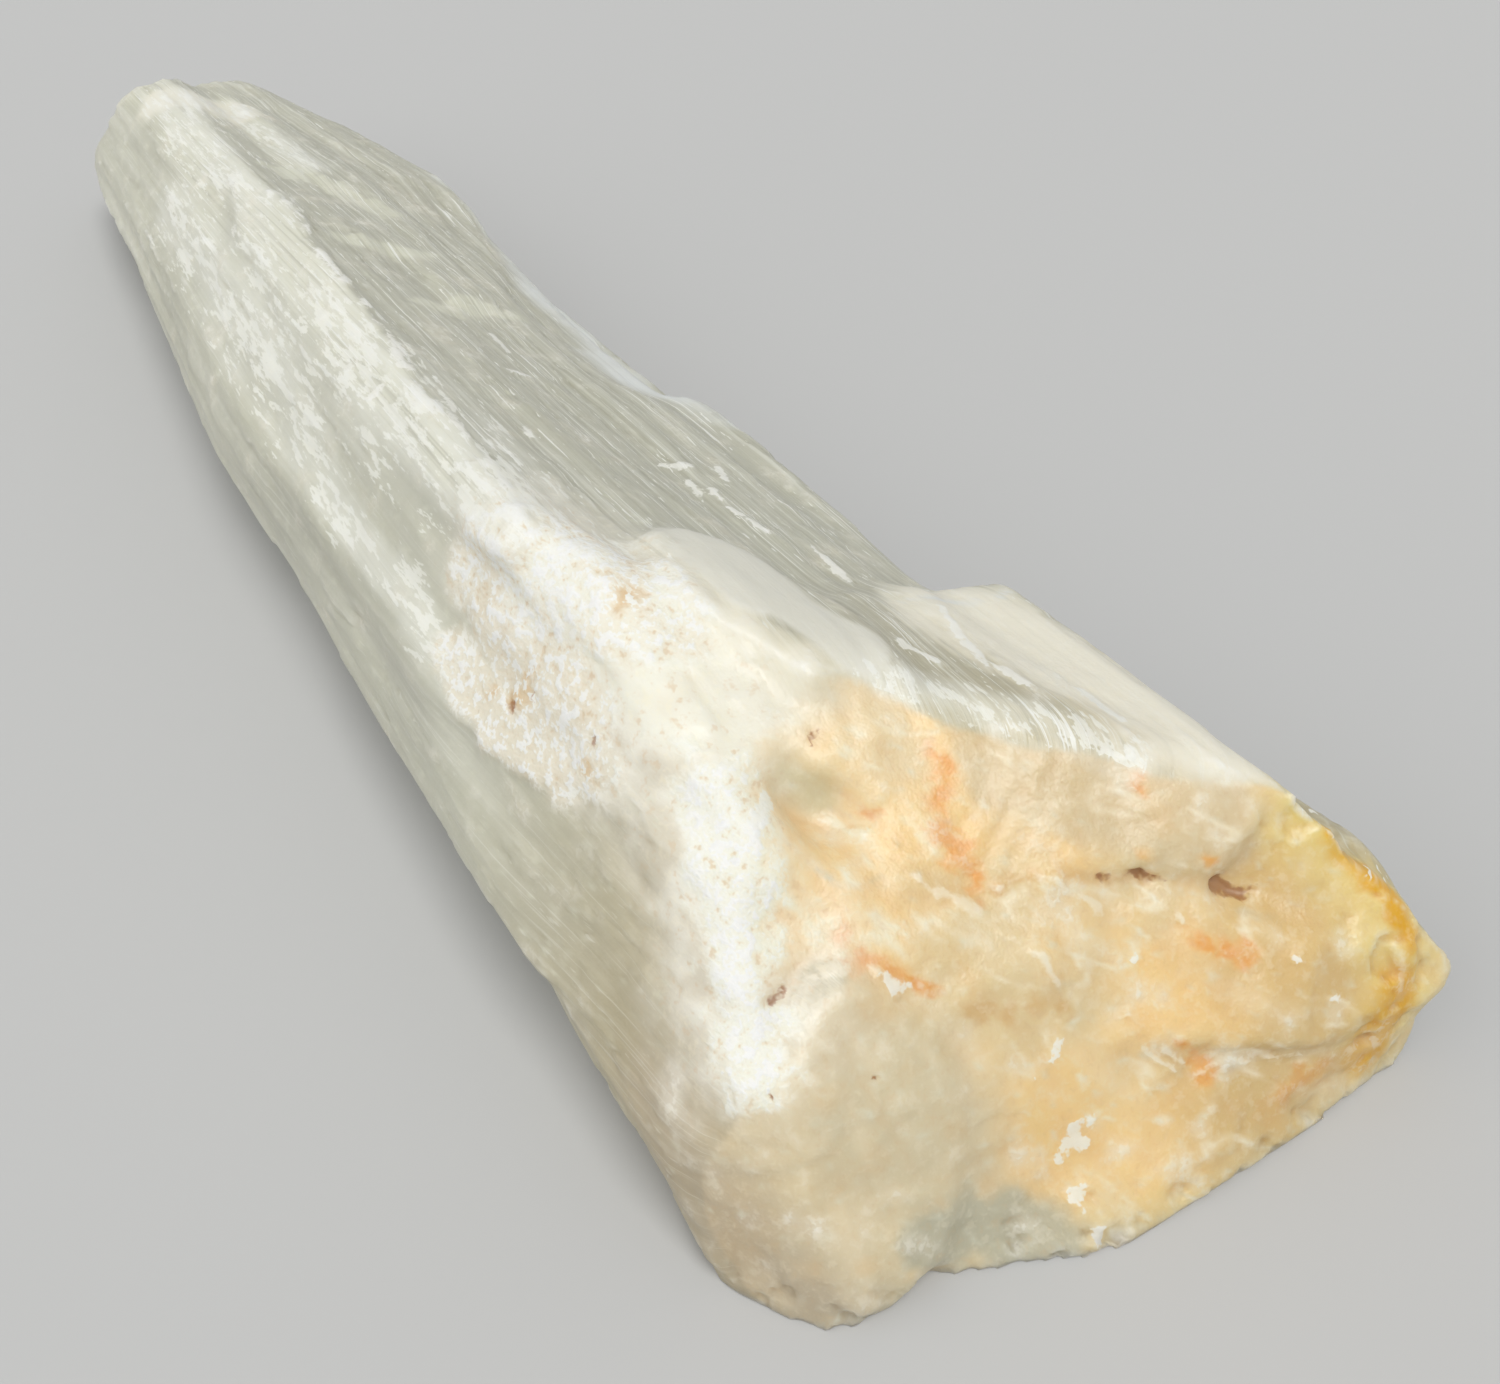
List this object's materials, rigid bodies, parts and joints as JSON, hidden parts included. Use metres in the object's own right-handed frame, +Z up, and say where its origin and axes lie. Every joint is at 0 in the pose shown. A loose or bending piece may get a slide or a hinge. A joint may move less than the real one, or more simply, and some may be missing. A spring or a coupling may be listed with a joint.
{
  "type": "selenite crystal",
  "caption": "Rough selenite crystal in one piece: a tapering bundle of gypsum fibres with a ridge, a crusted break and a stained broken end, lying on a flat underside.",
  "frame": {"origin": "on the surface it lies on, below the middle of its bounding box", "axes": "+X along the fibres, from the narrow tip to the wide broken end; +Z up; +Y across, to the side of the stepped plates"},
  "size_m": [0.1494, 0.0504, 0.0307],
  "materials": {
    "selenite": "milky, translucent and silky along the fibres, with chalky white crust and cream to orange stains on the broken end"
  },
  "bodies": {
    "root": {"selenite_crystal": "selenite"}
  },
  "joints": []
}
